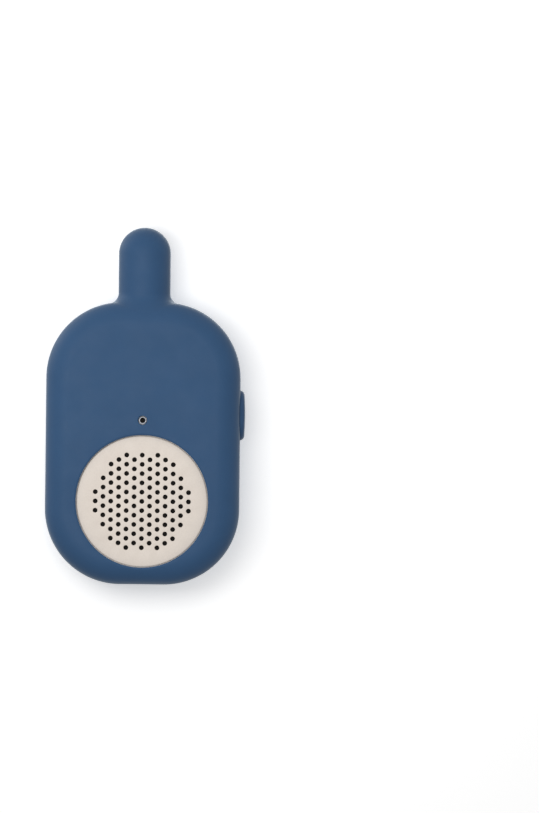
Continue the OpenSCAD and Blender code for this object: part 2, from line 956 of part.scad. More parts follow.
// One cell standing at x, with its button up or down
module cell(x, button_up) {
    button_h = 0.8;
    button_r = 1.9;
    crimp_r = 0.4;
    low = bay_low_z + contact_t + (button_up ? spring_l : 0);
    translate([x, cell_y, low + (button_up ? 0 : cell_l)])
        mirror([0, 0, button_up ? 0 : 1])
            rotate_extrude()
                difference() {
                    union() {
                        square([cell_r, cell_l - button_h]);
                        square([button_r, cell_l]);
                    }
                    translate([cell_r + 0.1, cell_l - button_h - 1.4])
                        circle(r = crimp_r, $fn = 32);
                    translate([button_r + 0.6, cell_l - button_h - 0.4])
                        square([cell_r - button_r - 1.4, 1]);
                }
}

module battery_left() {
    color([0.30, 0.42, 0.36])
        cell(-cell_pitch, true);
}

module battery_middle() {
    color([0.30, 0.42, 0.36])
        cell(0, false);
}

module battery_right() {
    color([0.30, 0.42, 0.36])
        cell(cell_pitch, true);
}

// Conical springs: wide end on the contact, narrow end on the cell's flat end
module battery_springs() {
    wire_r = 0.25;
    wide = 2.7;
    narrow = 1.6;
    low = bay_low_z + contact_t;
    high = bay_high_z - contact_t;
    color(STEEL) {
        for (x = [-cell_pitch, cell_pitch])
            translate([x, cell_y, 0])
                tube(helix(wide, narrow, low + wire_r, low + spring_l - wire_r, 3, 14), wire_r, 6);
        translate([0, cell_y, 0])
            tube(helix(wide, narrow, high - wire_r, high - spring_l + wire_r, 3, 14), wire_r, 6);
    }
}

// Sprung steel plates that join the three cells in a row
module battery_contacts() {
    low_y = 1.2;
    high_y = 8.6;
    plate_half = 4.4;
    tag_l = 3.2;
    color(STEEL) {
        // lower plates: the left cell's own plate with its tag, and one for the other two cells
        block([-cell_pitch - plate_half, low_y, bay_low_z],
            [-cell_pitch + plate_half, high_y, bay_low_z + contact_t]);
        block([-bay_half_w - tag_l, tag_low_y, bay_low_z],
            [-cell_pitch, tag_high_y, bay_low_z + contact_t]);
        block([-plate_half, low_y, bay_low_z],
            [cell_pitch + plate_half, high_y, bay_low_z + contact_t]);
        // upper plates, the other way round
        block([-cell_pitch - plate_half, low_y, bay_high_z - contact_t],
            [plate_half, high_y, bay_high_z]);
        block([cell_pitch - plate_half, low_y, bay_high_z - contact_t],
            [cell_pitch + plate_half, high_y, bay_high_z]);
        block([cell_pitch, tag_low_y, bay_high_z - contact_t],
            [bay_half_w + tag_l, tag_high_y, bay_high_z]);
    }
}

// Door with two tabs at its lower edge and a recessed screw at its upper edge
module battery_door() {
    grip_ribs = 4;
    grip_step = 2;
    grip_z = door_screw_z - 9;
    color(CREAM)
        difference() {
            union() {
                upright(door_in_y)
                    linear_extrude(height = door_t)
                        translate([0, door_low_z + door_h / 2])
                            rounded_rect(2 * door_half_w, door_h, door_corner_r);
                for (s = [-1, 1])
                    translate([s * cell_pitch, 0, door_low_z]) {
                        block([-tab_w / 2, tab_y, -tab_l], [tab_w / 2, tab_y + tab_t, 1.2]);
                        block([-tab_w / 2, tab_y, 0], [tab_w / 2, door_in_y + eps, 1.2]);
                    }
            }
            bar_y([0, door_screw_z], door_screw_r + 0.1, 0, body_d);
            bar_y([0, door_screw_z], door_screw_head_r + 0.1, door_out_y - door_screw_sink, body_d);
            // finger grip grooves
            for (k = [0:grip_ribs - 1])
                translate([0, door_out_y + 0.35, grip_z - k * grip_step])
                    rotate([0, 90, 0])
                        cylinder(h = 14 - 2 * k, r = 0.7, center = true);
        }
}

module battery_door_screw() {
    seat = door_out_y - door_screw_sink;
    color(STEEL)
        screw([0, door_screw_z], seat, door_screw_head_r, 0.9, door_screw_r,
            seat - door_screw_tip_y);
}

module door_screw_insert() {
    color(BRASS)
        difference() {
            bar_y([0, door_screw_z], insert_r, insert_y, insert_y + insert_l);
            bar_y([0, door_screw_z], insert_bore_r, insert_y - 1, insert_y + insert_l + 1);
        }
}

// ---------- circuit board ----------

// Block on the back of the board: its middle in the front view, its width, height and depth
module board_part(at, w, h, depth) {
    translate([at[0] - w / 2, board_back_y, at[1] - h / 2])
        cube([w, depth, h]);
}

module main_board() {
    color(BOARD_GREEN)
        difference() {
            upright(board_y)
                linear_extrude(height = board_t)
                    intersection() {
                        follow_outline(board_inset);
                        translate([-half_w, board_low_z])
                            square([body_w, body_h]);
                    }
            for (at = board_screw_at)
                bar_y(at, board_screw_r + 0.15, board_y - 1, 0);
            for (at = casing_screw_at)
                bar_y(at, casing_boss_r + 1, board_y - 1, 0);
        }
}

module board_screws() {
    color(STEEL)
        for (at = board_screw_at)
            screw(at, board_back_y, 1.7, 1.1, board_screw_r, 4.6);
}

// Flat chip with a row of legs along each of its long sides
module chip(at, w, h, depth, legs) {
    leg_w = 0.4;
    leg_out = 0.9;
    step = h / legs;
    color(BLACK)
        translate([0, 0.15, 0])
            board_part(at, w, h, depth);
    color(STEEL)
        for (k = [0:legs - 1], s = [-1, 1])
            translate([at[0] + s * (w / 2 + leg_out / 2), board_back_y + 0.15,
                at[1] + (k - (legs - 1) / 2) * step])
                cube([leg_out + 0.2, 0.3, leg_w], center = true);
}

module radio_chip() {
    chip(shield_at, 7, 7, 1.2, 6);
}

module audio_chip() {
    chip(audio_chip_at, 4, 5, 1.4, 4);
}

module shield_can() {
    t = 0.3;
    size = [15, 12];
    color(STEEL)
        difference() {
            board_part(shield_at, size.x, size.y, 3);
            translate([0, -eps, 0])
                board_part(shield_at, size.x - 2 * t, size.y - 2 * t, 3 - t);
        }
}

module crystal_can() {
    w = 9;
    h = 3.6;
    color(STEEL)
        upright(board_back_y)
            linear_extrude(height = 3.2)
                translate(crystal_at)
                    rounded_rect(w, h, h / 2 - eps);
}

module capacitors() {
    color([0.15, 0.20, 0.35])
        for (at = capacitor_at)
            bar_y(at, capacitor_r, board_back_y, board_back_y + capacitor_l);
}

module tuning_coil() {
    w = 7;
    depth = 8;
    core_r = 1.6;
    color(STEEL)
        difference() {
            board_part(tuning_coil_at, w, w, depth);
            bar_y(tuning_coil_at, core_r, board_back_y + depth - 1.5, board_back_y + depth + 1);
        }
}

// Small resistors and capacitors in two rows on the front of the board
module board_passives() {
    size = [1.6, 0.6, 0.8];
    first = [-13, 76];
    step = [3.6, 6];
    color([0.55, 0.45, 0.35])
        for (k = [0:7], row = [0, 1])
            translate([first.x + step.x * k, board_y - size.y / 2, first.y + step.y * row])
                cube(size, center = true);
}

// ---------- antenna ----------

module antenna_base() {
    foot = 3;
    color(BLACK)
        difference() {
            union() {
                translate([0, 0, antenna_base_z])
                    cylinder(h = antenna_base_h, r = antenna_base_r);
                block([-foot, board_back_y, antenna_base_z - 8], [foot, -3, antenna_base_z + 1]);
            }
            translate([0, 0, antenna_base_z + 1])
                cylinder(h = antenna_base_h, r = former_r);
            translate([helix_r, 0, antenna_base_z - 1])
                cylinder(h = antenna_base_h + 2, r = 0.6, $fn = 24);
        }
}

module antenna_former() {
    color([0.9, 0.9, 0.88])
        union() {
            translate([0, 0, antenna_base_z + 1])
                cylinder(h = former_top_z - antenna_base_z - 1, r = former_r);
            translate([0, 0, helix_high_z + 1.2])
                cylinder(h = 1.2, r = helix_r + 1);
        }
}

module antenna_coil() {
    color(COPPER)
        tube(helix(helix_r, helix_r, helix_low_z, helix_high_z, helix_turns, 18), helix_wire_r, 6);
}

// Straight tail of the coil down to the board
module antenna_lead() {
    color(COPPER)
        tube(rounded_route([[helix_r, 0, helix_low_z - helix_wire_r], [helix_r, 0, 100],
            [helix_r + 1.5, -1, 97], [6, -4, 95], [6, lead_end_y, 94]]), helix_wire_r, 8);
}

// ---------- leads ----------

module speaker_leads() {
    color(RED)
        for (s = [-1, 1])
            mirror([s < 0 ? 1 : 0, 0, 0])
                lead([[2.6, -6.2, 49.75], [2.6, -4, 50], [3, -3, 52], [5, -3, 55], [6, -3.6, 58],
                    [6, lead_end_y, 59]]);
}

module battery_leads() {
    color(RED) {
        lead([[-18.9, 5, 29.9], [-19.5, 3, 32], [-20.5, 0, 38], [-21, -2, 48], [-20.5, -2.5, 58],
            [-20.5, lead_end_y, 60]]);
        lead([[18.9, 5, 76.6], [19.2, 2, 74], [18.6, -1, 70], [17, -3, 67],
            [16, lead_end_y, 66.5]]);
    }
}

module power_leads() {
    step = 1.2;
    color(BLACK)
        for (k = [0, 1])
            let (s = step * k)
                lead([[-10.5 + s, 1, 14.2], [-11.5 + s, s, 17], [-16 + s, s - 1, 19],
                    [-21.5 + s, s - 2, 24], [-24 + s, s - 3, 34], [-24 + s, s - 3, 50],
                    [-24 + s, s - 3.4, 65], [-24 + s, lead_end_y, 66]]);
}

silicone_cover();
front_casing();
rear_casing();
casing_screws();
speaker_grille();
speaker_cloth();
speaker_gasket();
speaker_frame();
speaker_top_plate();
speaker_magnet();
speaker_yoke();
voice_coil();
speaker_cone();
speaker_dust_cap();
speaker_surround();
speaker_terminals();
speaker_retainer();
retainer_screws();
mic_bezel();
mic_cloth();
mic_boot();
mic_capsule();
talk_key();
talk_plunger();
talk_switch();
talk_switch_button();
power_key();
power_plunger();
power_switch();
power_switch_button();
power_board();
battery_left();
battery_middle();
battery_right();
battery_springs();
battery_contacts();
battery_door();
battery_door_screw();
door_screw_insert();
main_board();
board_screws();
radio_chip();
audio_chip();
shield_can();
crystal_can();
capacitors();
tuning_coil();
board_passives();
antenna_base();
antenna_former();
antenna_coil();
antenna_lead();
speaker_leads();
battery_leads();
power_leads();
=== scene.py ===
"""Toy walkie talkie: the visual model, built over the CAD frame (metres, -Y front, +Z up)."""

import json
import math

import bmesh
import bpy
import numpy as np
from mathutils import Matrix, Vector
from mathutils.geometry import delaunay_2d_cdt


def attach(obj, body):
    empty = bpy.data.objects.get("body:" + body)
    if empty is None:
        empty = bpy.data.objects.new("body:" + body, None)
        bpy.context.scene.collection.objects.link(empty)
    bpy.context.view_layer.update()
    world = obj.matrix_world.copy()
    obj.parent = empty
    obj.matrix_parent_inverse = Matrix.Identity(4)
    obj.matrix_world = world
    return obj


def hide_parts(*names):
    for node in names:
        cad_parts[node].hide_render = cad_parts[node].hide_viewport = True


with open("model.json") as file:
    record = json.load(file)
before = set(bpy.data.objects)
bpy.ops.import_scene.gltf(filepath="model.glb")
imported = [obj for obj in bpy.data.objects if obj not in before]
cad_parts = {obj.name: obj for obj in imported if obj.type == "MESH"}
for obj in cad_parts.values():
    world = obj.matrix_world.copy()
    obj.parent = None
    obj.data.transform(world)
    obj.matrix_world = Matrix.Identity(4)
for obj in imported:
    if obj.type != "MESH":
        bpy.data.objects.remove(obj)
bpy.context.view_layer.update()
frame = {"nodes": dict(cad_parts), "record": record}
nodes = frame["nodes"]
MM = 0.001

# ---------- the same sizes as the CAD model, in millimetres ----------
# body and antenna
HALF_W, HALF_D = 36.7, 15.0
BODY_H, TOTAL_H = 106.5, 135.0
CORNER_R, EDGE_R = 28.5, 9.0
ANTENNA_R, ANTENNA_ROOT, NECK_R = 9.8, 20.0, 3.6
# cover: its wall, its openings and the rounding of their lips
COVER_T, WINDOW_MARGIN = 2.0, 13.0
SPEAKER_Z, SPEAKER_HOLE_R = 31.25, 24.9
MIC_Z, MIC_HOLE_R = 61.8, 1.65
SPEAKER_LIP, MIC_LIP, TALK_LIP, POWER_LIP, WINDOW_LIP = 0.8, 0.3, 0.35, 0.3, 0.7
# keys: the gap round them, half the flat at their round ends, and the bow of the talk key
KEY_GAP, KEY_FLAT, KEY_BOW = 0.35, 0.6, 5.5
TALK_Z, TALK_L, TALK_W, TALK_ROUND = 64.3, 19.0, 15.0, 1.8
TALK_BACK_X, TALK_FRONT_X = 35.5, 38.6
POCKET_HALF_W, POCKET_HALF_L, POCKET_DEPTH = 2.4, 6.0, 1.4
POWER_X, POWER_L, POWER_W, POWER_ROUND = -3.65, 18.3, 7.0, 0.3
POWER_LOW_Z, POWER_HIGH_Z = 0.25, 1.35
# grille: the plate, the skirt behind it, the thin ledge round it and the sound holes
GRILLE_R, GRILLE_Y, GRILLE_BACK_Y, GRILLE_ROUND = 24.8, -13.3, -12.32, 0.6
SKIRT_R, SKIRT_T, SKIRT_L = 23.1, 1.5, 2.82
LEDGE_R, LEDGE_Y, LEDGE_T = 25.04, -12.99, 0.06
COLUMN_STEP, HOLE_STEP, FIELD_R = 2.93, 3.49, 18.65
SOUND_HOLE_R, SOUND_HOLE_ROUND = 0.9, 0.12
# microphone bezel: its rim, port and cloth seat, and the flange behind it
BEZEL_R, PORT_R, MIC_CLOTH_R, FLANGE_R = 1.45, 1.0, 1.2, 2.3
BEZEL_FRONT_Y, MIC_CLOTH_Y, BEZEL_BACK_Y, FLANGE_BACK_Y = -14.22, -13.62, -11.12, -10.42
# sides of the turned rings
RIM_SIDES, HOLE_SIDES, BEZEL_SIDES = 180, 28, 64
# battery door and its two tabs
DOOR_HALF_W, DOOR_LOW_Z, DOOR_H, DOOR_R = 18.3, 27.1, 58.8, 3.0
DOOR_IN_Y, DOOR_OUT_Y, DOOR_ROUND = 11.2, 12.8, 0.3
TAB_X, TAB_HALF_W, TAB_Y, TAB_T, TAB_L, TAB_ROOT, TAB_FILLET = 10.8, 3.0, 9.4, 1.5, 2.0, 1.2, 0.15
# the door's screw: its recess in the door, head, thread and cross slot
SCREW_Z, SCREW_HOLE_R, RECESS_R, RECESS_DEPTH, RECESS_LIP = 81.9, 1.05, 2.3, 1.1, 0.15
SEAT_GAP, HEAD_R, HEAD_T, HEAD_DOME, HEAD_ROUND = 0.05, 2.2, 0.9, 0.14, 0.22
THREAD_R, THREAD_DEPTH, THREAD_PITCH, TIP_Y = 0.95, 0.2, 0.8, 8.0
SLOT_HALF_L, SLOT_HALF_W, SLOT_DEPTH, SLOT_TAPER, SLOT_LIP = 1.3, 0.2, 0.6, 0.3, 0.06
# finger grooves in the door, below its screw
GRIP_GROOVES, GRIP_STEP, GRIP_R, GRIP_HALF_L, GRIP_LIP = 4, 2.0, 0.7, 7.0, 0.12
GRIP_Y, GRIP_TOP_Z = DOOR_OUT_Y + 0.35, SCREW_Z - 9.0

# ---------- camera: straight on from the front, through a long lens ----------
PICTURE_H = 307.64  # millimetres that the picture takes in, at the handset
LOOK_X, LOOK_Z = 47.75, 67.8
ROLL = math.radians(0.6)
LENS, SENSOR = 400.0, 36.0
distance_mm = LENS * PICTURE_H / SENSOR
camera_data = bpy.data.cameras.new("camera")
camera_data.lens = LENS
camera_data.sensor_width = SENSOR
camera_data.clip_start, camera_data.clip_end = 0.05, 50
camera = bpy.data.objects.new("camera", camera_data)
bpy.context.scene.collection.objects.link(camera)
# the lens is level with the floor, which is then seen edge-on, and looks up by a degree
camera.location = Vector((LOOK_X, -distance_mm, 0)) * MM
turn = Matrix.Rotation(math.radians(90) + math.atan2(LOOK_Z, distance_mm), 3, "X")
camera.rotation_euler = (turn @ Matrix.Rotation(ROLL, 3, "Z")).to_euler()
bpy.context.scene.camera = camera


# ---------- signed distances ----------
def rect_distance(u, v, half_u, half_v, r):
    """Distance to a rounded rectangle centred on the origin, negative inside it."""
    qu = np.abs(u) - (half_u - r)
    qv = np.abs(v) - (half_v - r)
    return np.minimum(np.maximum(qu, qv), 0) + np.hypot(np.maximum(qu, 0), np.maximum(qv, 0)) - r


def outline_distance(p):
    """Distance to the body's outline as seen from the front."""
    return rect_distance(p[:, 0], p[:, 2] - BODY_H / 2, HALF_W, BODY_H / 2, CORNER_R)


def pebble_distance(p):
    """The body: its outline with the front and back edges rounded."""
    a = outline_distance(p) + EDGE_R
    b = np.abs(p[:, 1]) - HALF_D + EDGE_R
    return np.minimum(np.maximum(a, b), 0) + np.hypot(np.maximum(a, 0), np.maximum(b, 0)) - EDGE_R


def antenna_distance(p):
    z = p[:, 2] - np.clip(p[:, 2], BODY_H - ANTENNA_ROOT, TOTAL_H - ANTENNA_R)
    return np.sqrt(p[:, 0] ** 2 + p[:, 1] ** 2 + z ** 2) - ANTENNA_R


def joined(a, b, r):
    """Union of two solids with a fillet."""
    return np.maximum(r, np.minimum(a, b)) - np.hypot(np.maximum(r - a, 0), np.maximum(r - b, 0))


def common(a, b, r):
    """Intersection of two solids with a rounded edge."""
    return np.minimum(-r, np.maximum(a, b)) + np.hypot(np.maximum(r + a, 0), np.maximum(r + b, 0))


def front_bore(p, z, radius):
    """A round hole from the front to the middle of the body."""
    return np.maximum(np.hypot(p[:, 0], p[:, 2] - z) - radius, p[:, 1])


def speaker_opening(p):
    return front_bore(p, SPEAKER_Z, SPEAKER_HOLE_R)


def mic_opening(p):
    return front_bore(p, MIC_Z, MIC_HOLE_R)


def talk_prism(p, grow):
    half_w = TALK_W / 2 + grow
    return rect_distance(p[:, 1], p[:, 2] - TALK_Z, half_w, TALK_L / 2 + grow, half_w - KEY_FLAT)


def talk_opening(p):
    return np.maximum(talk_prism(p, KEY_GAP), HALF_W - 2 * COVER_T - p[:, 0])


def power_prism(p, grow):
    half_w = POWER_W / 2 + grow
    return rect_distance(p[:, 0] - POWER_X, p[:, 1], POWER_L / 2 + grow, half_w, half_w - KEY_FLAT)


def power_opening(p):
    return np.maximum(power_prism(p, KEY_GAP), p[:, 2] - 2 * COVER_T)


def window_opening(p):
    return np.maximum(outline_distance(p) + WINDOW_MARGIN, -p[:, 1])


# each opening in the cover with the rounding of its lip
OPENINGS = [(speaker_opening, SPEAKER_LIP), (mic_opening, MIC_LIP), (talk_opening, TALK_LIP),
            (power_opening, POWER_LIP), (window_opening, WINDOW_LIP)]


def cover_outside(p):
    d = joined(pebble_distance(p), antenna_distance(p), NECK_R)
    for opening, lip in OPENINGS:
        d = common(d, -opening(p), lip)
    return d


def cover_inside(p):
    return np.minimum(pebble_distance(p), antenna_distance(p)) + COVER_T


def cover_distance(p):
    return np.maximum(cover_outside(p), -cover_inside(p))


def cover_lips(p):
    """Distance to the nearest lip of the cover, roughly."""
    skin = np.abs(joined(pebble_distance(p), antenna_distance(p), NECK_R))
    near = np.min([np.abs(opening(p)) for opening, lip in OPENINGS], axis=0)
    return np.maximum(skin, near)


# ---------- meshing ----------
def surface_nets(distance, low, high, step):
    """Quads round the zero level of a signed distance, one vertex to each cell it crosses."""
    axes = [np.arange(a - 1.37 * step, b + 2.4 * step, step) for a, b in zip(low, high)]
    grid = np.meshgrid(*axes, indexing="ij")
    f = distance(np.stack([g.ravel() for g in grid], 1)).reshape(grid[0].shape)
    cells = tuple(n - 1 for n in f.shape)
    total, count = np.zeros(cells + (3,)), np.zeros(cells)
    crossings = []
    for axis in range(3):
        a = np.delete(f, -1, axis)
        b = np.delete(f, 0, axis)
        at = np.argwhere((a < 0) != (b < 0))
        fa, fb = a[tuple(at.T)], b[tuple(at.T)]
        place = at.astype(float)
        place[:, axis] += fa / (fa - fb)
        u, v = (axis + 1) % 3, (axis + 2) % 3
        crossings.append((at, fa < 0, u, v))
        for du in (0, 1):
            for dv in (0, 1):
                cell = at.copy()
                cell[:, u] -= du
                cell[:, v] -= dv
                np.add.at(total, tuple(cell.T), place)
                np.add.at(count, tuple(cell.T), 1)
    used = count > 0
    ids = np.full(cells, -1)
    ids[used] = np.arange(used.sum())
    points = total[used] / count[used][:, None] * step + [a[0] for a in axes]
    quads = []
    for at, outwards, u, v in crossings:
        ring = []
        for du, dv in ((1, 1), (0, 1), (0, 0), (1, 0)):
            cell = at.copy()
            cell[:, u] -= du
            cell[:, v] -= dv
            ring.append(ids[tuple(cell.T)])
        ring = np.stack(ring, 1)
        quads.append(np.where(outwards[:, None], ring, ring[:, ::-1]))
    return points, np.concatenate(quads)


def gradient(distance, p):
    nudge = 1e-3
    steps = np.eye(3) * nudge
    return np.stack([(distance(p + d) - distance(p - d)) / (2 * nudge) for d in steps], 1)


def settle(distance, p, rounds=3):
    """Moves points onto the surface."""
    for _ in range(rounds):
        g = gradient(distance, p)
        move = distance(p) / np.maximum((g * g).sum(1), 0.1)
        p = p - np.clip(move, -0.5, 0.5)[:, None] * g
    return p


def relax(distance, p, edges, rounds):
    """Evens out the spacing of the points along the surface."""
    for _ in range(rounds):
        total, count = np.zeros_like(p), np.zeros(len(p))
        for a, b in ((0, 1), (1, 0)):
            np.add.at(total, edges[:, a], p[edges[:, b]])
            np.add.at(count, edges[:, a], 1)
        p = settle(distance, p + 0.5 * (total / count[:, None] - p), 1)
    return p


def mesh_edges(mesh):
    edges = np.empty(len(mesh.edges) * 2, int)
    mesh.edges.foreach_get("vertices", edges)
    return edges.reshape(-1, 2)


def mesh_points(mesh):
    co = np.empty(len(mesh.vertices) * 3)
    mesh.vertices.foreach_get("co", co)
    return co.reshape(-1, 3)


def refine(mesh, near, reach):
    """Splits the faces that lie within reach of a feature."""
    bm = bmesh.new()
    bm.from_mesh(mesh)
    middles = np.array([(e.verts[0].co + e.verts[1].co) / 2 for e in bm.edges])
    bm.edges.ensure_lookup_table()
    chosen = [bm.edges[i] for i in np.flatnonzero(near(middles) < reach)]
    bmesh.ops.subdivide_edges(bm, edges=chosen, cuts=1, use_grid_fill=True)
    bmesh.ops.triangulate(bm, faces=[f for f in bm.faces if len(f.verts) > 4])
    bm.to_mesh(mesh)
    bm.free()


def solid(name, distance, low, high, step, fine=(), crease=None):
    """Smooth closed object from a signed distance in millimetres.

    fine lists (feature, reach) pairs where the mesh is split once more, and crease is a pair of
    distances whose shared edge is kept sharp.
    """
    points, quads = surface_nets(distance, low, high, step)
    mesh = bpy.data.meshes.new(name)
    mesh.from_pydata(points.tolist(), [], quads.tolist())
    points = relax(distance, settle(distance, mesh_points(mesh)), mesh_edges(mesh), 4)
    mesh.vertices.foreach_set("co", points.ravel())
    for near, reach in fine:
        refine(mesh, near, reach)
        points = relax(distance, settle(distance, mesh_points(mesh), 2), mesh_edges(mesh), 2)
        mesh.vertices.foreach_set("co", points.ravel())
    points = settle(distance, points, 3)
    if crease:
        a, b = crease
        pick = np.maximum(np.abs(a(points)), np.abs(b(points))) < 0.3 * step
        on_edge = points[pick]
        for _ in range(6):
            on_edge = settle(b, settle(a, on_edge, 1), 1)
        points[pick] = on_edge
    normals = gradient(distance, points)
    normals /= np.maximum(np.linalg.norm(normals, axis=1), 1e-6)[:, None]
    mesh.vertices.foreach_set("co", (points * MM).ravel())
    mesh.polygons.foreach_set("use_smooth", [True] * len(mesh.polygons))
    mesh.update()
    mesh.normals_split_custom_set_from_vertices(normals.tolist())
    piece = bpy.data.objects.new(name, mesh)
    bpy.context.scene.collection.objects.link(piece)
    return piece


def stand_in_for(piece, body, slot, *replaced):
    """The piece takes the place of CAD nodes and moves with their body."""
    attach(piece, body)
    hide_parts(*replaced)
    piece.data.materials.append(materials[slot])
    return piece


# ---------- procedural materials ----------
class Shader:
    """A node material with a Principled surface, built by short calls."""

    def __init__(self, name, **sockets):
        self.material = bpy.data.materials.new(name)
        self.material.use_nodes = True
        self.tree = self.material.node_tree
        self.tree.nodes.clear()
        self.surface = self.node("ShaderNodeBsdfPrincipled")
        self.output = self.node("ShaderNodeOutputMaterial")
        self.link(self.surface.outputs[0], self.output.inputs[0])
        self.coords = self.node("ShaderNodeTexCoord").outputs["Object"]
        for socket, value in sockets.items():
            self.surface.inputs[socket.replace("_", " ")].default_value = value

    def node(self, kind, **settings):
        made = self.tree.nodes.new(kind)
        for key, value in settings.items():
            setattr(made, key, value)
        return made

    def link(self, a, b):
        self.tree.links.new(a, b)

    def scaled(self, size_mm, stretch=(1, 1, 1)):
        """Object coordinates counted in steps of that size."""
        m = self.node("ShaderNodeMapping")
        m.inputs["Scale"].default_value = [s / (size_mm * MM) for s in stretch]
        self.link(self.coords, m.inputs["Vector"])
        return m.outputs[0]

    def noise(self, size_mm, detail=3.0, roughness=0.5, stretch=(1, 1, 1), distortion=0.0):
        n = self.node("ShaderNodeTexNoise")
        n.inputs["Scale"].default_value = 1.0
        n.inputs["Detail"].default_value = detail
        n.inputs["Roughness"].default_value = roughness
        n.inputs["Distortion"].default_value = distortion
        self.link(self.scaled(size_mm, stretch), n.inputs["Vector"])
        return n.outputs["Fac"]

    def wave(self, size_mm, axis):
        """Bands across an axis, one to each step of that size."""
        w = self.node("ShaderNodeTexWave", wave_type="BANDS", bands_direction=axis,
                      wave_profile="SIN")
        w.inputs["Scale"].default_value = math.pi / 10
        w.inputs["Distortion"].default_value = 0.0
        self.link(self.scaled(size_mm), w.inputs["Vector"])
        return w.outputs["Fac"]

    def cells(self, size_mm, feature="F1", randomness=1.0):
        v = self.node("ShaderNodeTexVoronoi", feature=feature)
        v.inputs["Scale"].default_value = 1.0
        v.inputs["Randomness"].default_value = randomness
        self.link(self.scaled(size_mm), v.inputs["Vector"])
        return v.outputs["Distance"]

    def axis(self, letter):
        s = self.node("ShaderNodeSeparateXYZ")
        self.link(self.coords, s.inputs[0])
        return s.outputs[letter]

    def math(self, operation, a, b=0.0):
        m = self.node("ShaderNodeMath", operation=operation)
        for socket, value in zip(m.inputs, (a, b)):
            if hasattr(value, "default_value"):
                self.link(value, socket)
            else:
                socket.default_value = value
        return m.outputs[0]

    def ramp(self, factor, stops):
        """Colours by factor: stops are (place, (r, g, b))."""
        r = self.node("ShaderNodeValToRGB")
        while len(r.color_ramp.elements) < len(stops):
            r.color_ramp.elements.new(0.5)
        for element, (place, colour) in zip(r.color_ramp.elements, stops):
            element.position = place
            element.color = tuple(colour) + (1.0,)
        self.link(factor, r.inputs[0])
        return r.outputs[0]

    def between(self, factor, low, high, start, end):
        """Runs from low to high while the factor runs from start to end."""
        m = self.node("ShaderNodeMapRange")
        for socket, value in zip(("From Min", "From Max", "To Min", "To Max"),
                                 (start, end, low, high)):
            m.inputs[socket].default_value = value
        self.link(factor, m.inputs["Value"])
        return m.outputs[0]

    def mix(self, factor, a, b, blend="MIX"):
        m = self.node("ShaderNodeMix", data_type="RGBA", blend_type=blend)
        for socket, value in ((m.inputs[0], factor), (m.inputs[6], a), (m.inputs[7], b)):
            if hasattr(value, "default_value"):
                self.link(value, socket)
            elif hasattr(value, "__len__"):
                socket.default_value = tuple(value) + (1.0,)
            else:
                socket.default_value = value
        return m.outputs[2]

    def colour(self, source):
        self.link(source, self.surface.inputs["Base Color"])

    def rough(self, source, low, high):
        """Roughness from low to high by a source that keeps near the middle of its range."""
        self.link(self.between(source, low, high, 0.25, 0.75), self.surface.inputs["Roughness"])

    def bump(self, height, depth_mm, strength=1.0):
        """Adds a bump of that depth on top of those made before."""
        b = self.node("ShaderNodeBump")
        b.inputs["Strength"].default_value = strength
        b.inputs["Distance"].default_value = depth_mm * MM
        self.link(height, b.inputs["Height"])
        normal = self.surface.inputs["Normal"]
        if normal.is_linked:
            self.link(normal.links[0].from_socket, b.inputs["Normal"])
        self.link(b.outputs[0], normal)


def shades(colour, spread):
    """A darker, the plain and a lighter shade of one colour."""
    return [tuple(min(1.0, c * k) for c in colour) for k in (1 - spread, 1.0, 1 + spread)]


def moulded(name, colour, rough=(0.45, 0.6), grain_mm=0.12, depth_mm=0.006, spread=0.05, **sockets):
    """Moulded plastic or rubber: faint clouding, a fine spark-eroded grain and patchy gloss."""
    s = Shader(name, **sockets)
    dark, plain, light = shades(colour, spread)
    cloud = s.noise(14, 4, 0.6)
    speck = s.noise(0.5, 2, 0.7)
    base = s.ramp(cloud, [(0.3, dark), (0.5, plain), (0.7, light)])
    fine = s.ramp(speck, [(0.3, (0.95, 0.95, 0.95)), (0.7, (1, 1, 1))])
    s.colour(s.mix(1.0, base, fine, "MULTIPLY"))
    s.rough(s.noise(5, 4, 0.65), *rough)
    s.bump(s.noise(grain_mm, 3, 0.6), depth_mm, 0.5)
    return s


def silicone(name, colour):
    """Soft matte silicone rubber with a dry, slightly dusty skin."""
    s = Shader(name, Sheen_Weight=0.5, Sheen_Roughness=0.36, Specular_IOR_Level=0.28)
    s.surface.inputs["Sheen Tint"].default_value = (0.84, 0.94, 1.0, 1.0)
    s.surface.inputs["Subsurface Weight"].default_value = 0.04
    s.surface.inputs["Subsurface Radius"].default_value = (0.0012, 0.0014, 0.0020)
    dark, plain, light = shades(colour, 0.045)
    base = s.ramp(s.noise(22, 5, 0.6), [(0.3, dark), (0.5, plain), (0.72, light)])
    lint = s.ramp(s.noise(0.35, 2, 0.75), [(0.0, (0.94, 0.95, 0.97)), (0.62, (1, 1, 1)),
                                          (0.80, (1.06, 1.06, 1.05))])
    s.colour(s.mix(1.0, base, lint, "MULTIPLY"))
    s.rough(s.noise(9, 5, 0.6), 0.56, 0.70)
    s.bump(s.noise(30, 2, 0.5), 0.06, 0.4)
    s.bump(s.noise(0.22, 3, 0.65), 0.010, 0.45)
    return s


def metal(name, colour, rough, brushed=(1, 1, 1)):
    """Bare metal; brushed stretches the texture along an axis whose factor is under 1."""
    s = Shader(name, Metallic=1.0)
    dark, plain, light = shades(colour, 0.12)
    s.colour(s.ramp(s.noise(3, 4, 0.6), [(0.3, dark), (0.5, plain), (0.7, light)]))
    s.rough(s.noise(0.4, 3, 0.7, brushed), *rough)
    s.bump(s.noise(0.15, 2, 0.6, brushed), 0.004, 0.4)
    return s


